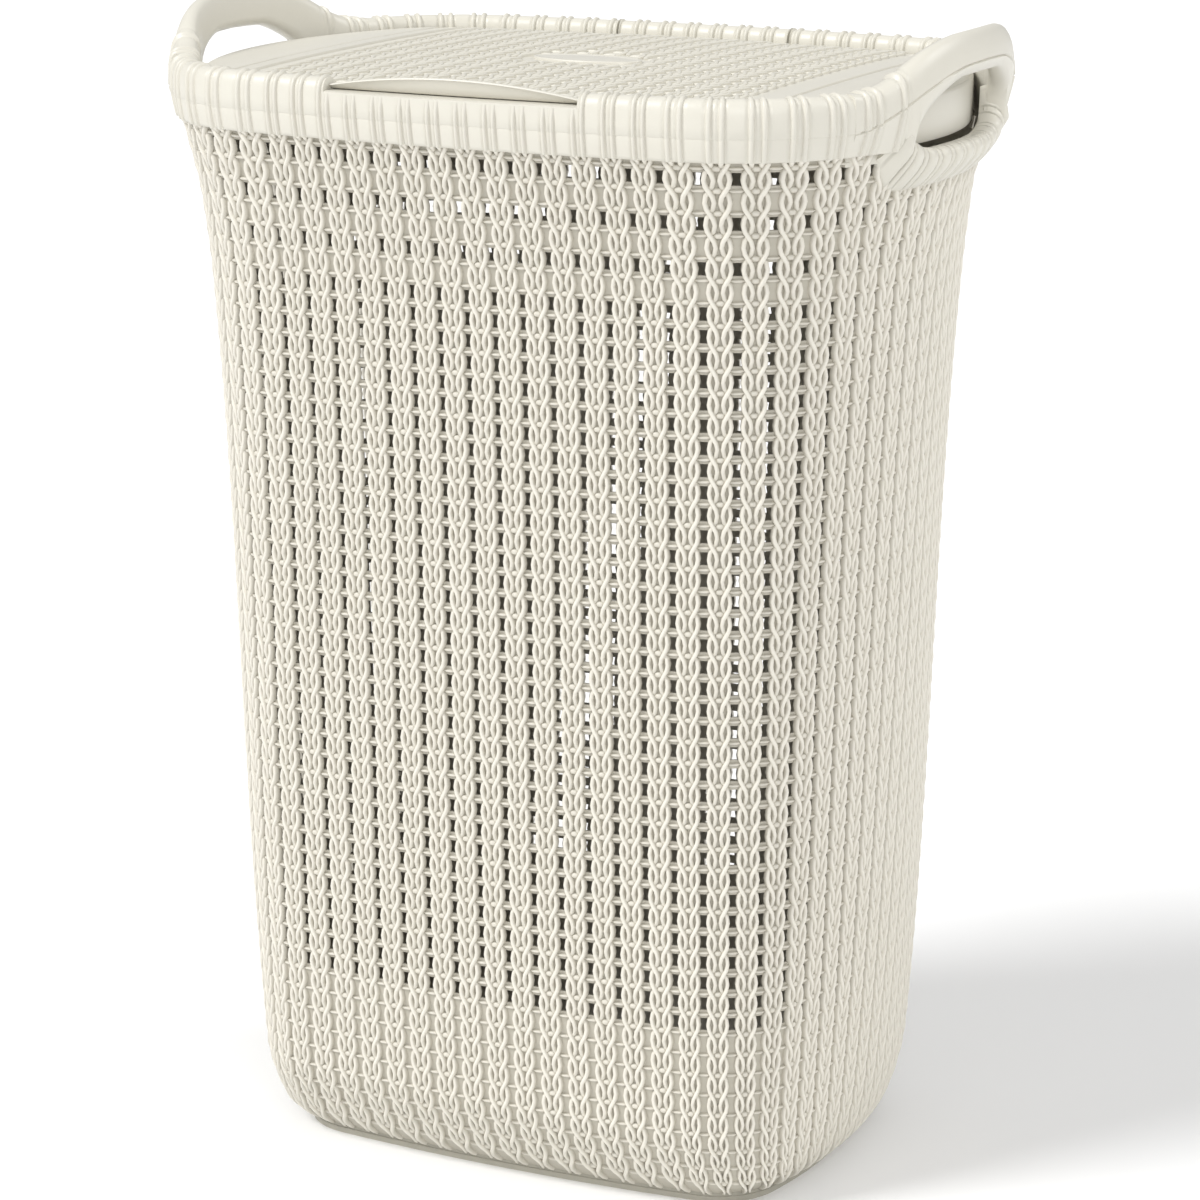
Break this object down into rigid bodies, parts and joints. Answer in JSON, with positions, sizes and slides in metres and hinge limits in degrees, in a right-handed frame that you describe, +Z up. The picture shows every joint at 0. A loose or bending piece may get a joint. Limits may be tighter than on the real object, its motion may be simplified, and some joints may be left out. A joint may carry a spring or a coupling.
{
  "type": "laundry hamper",
  "caption": "Tall tapered laundry hamper with knit-look walls, a ribbed rim band, two hand grips and a lid hinged at the rear.",
  "frame": {"origin": "on the floor, at the centre of the hamper's box", "axes": "+Z up, +X to the hamper's right, the long front face with the finger notch looks along -Y"},
  "size_m": [0.448, 0.313, 0.615],
  "materials": {
    "basket_plastic": "ivory polypropylene, moulded in a knit relief with open slots, satin",
    "band_plastic": "ivory polypropylene, smooth satin with thin moulded ribs",
    "lid_plastic": "ivory polypropylene, fine closed knit relief, satin",
    "badge_plastic": "smooth blank plate of the same ivory plastic, polished"
  },
  "bodies": {
    "basket": {"wall_front_left": "basket_plastic", "wall_front_middle": "basket_plastic", "wall_front_right": "basket_plastic", "wall_rear_left": "basket_plastic", "wall_rear_middle": "basket_plastic", "wall_rear_right": "basket_plastic", "wall_left_front": "basket_plastic", "wall_left_middle": "basket_plastic", "wall_left_rear": "basket_plastic", "wall_right_front": "basket_plastic", "wall_right_middle": "basket_plastic", "wall_right_rear": "basket_plastic", "wall_corner_front_left_foot": "basket_plastic", "wall_corner_front_left_lower": "basket_plastic", "wall_corner_front_left_upper": "basket_plastic", "wall_corner_front_left_flare": "basket_plastic", "wall_corner_front_right_foot": "basket_plastic", "wall_corner_front_right_lower": "basket_plastic", "wall_corner_front_right_upper": "basket_plastic", "wall_corner_front_right_flare": "basket_plastic", "wall_corner_rear_left_foot": "basket_plastic", "wall_corner_rear_left_lower": "basket_plastic", "wall_corner_rear_left_upper": "basket_plastic", "wall_corner_rear_left_flare": "basket_plastic", "wall_corner_rear_right_foot": "basket_plastic", "wall_corner_rear_right_lower": "basket_plastic", "wall_corner_rear_right_upper": "basket_plastic", "wall_corner_rear_right_flare": "basket_plastic", "basket_floor": "basket_plastic", "foot_ring": "basket_plastic", "rim_front": "band_plastic", "rim_corner_front_left": "band_plastic", "rim_corner_front_right": "band_plastic", "rim_corner_rear_left": "band_plastic", "rim_corner_rear_right": "band_plastic", "rim_rear_left": "band_plastic", "rim_rear_right": "band_plastic", "rim_rear_bridge": "band_plastic", "handle_left": "band_plastic", "handle_right": "band_plastic", "hand_hole_sill_left": "band_plastic", "hand_hole_sill_right": "band_plastic", "lid_ledge_front": "basket_plastic", "lid_ledge_rear_left": "basket_plastic", "lid_ledge_rear_right": "basket_plastic"},
    "lid": {"lid_panel": "lid_plastic", "lid_skirt_left": "lid_plastic", "lid_skirt_right": "lid_plastic", "lid_front_lip": "lid_plastic", "lid_hinge_tab": "lid_plastic", "lid_hinge_pin_left": "lid_plastic", "lid_hinge_pin_right": "lid_plastic", "lid_badge_plate": "badge_plastic"}
  },
  "joints": [
    {"name": "lid_hinge", "type": "hinge", "parent": "basket", "child": "lid", "pos_m": [0, 0.1515, 0.585], "axis": [-1, 0, 0], "range_deg": [0, 105]}
  ]
}
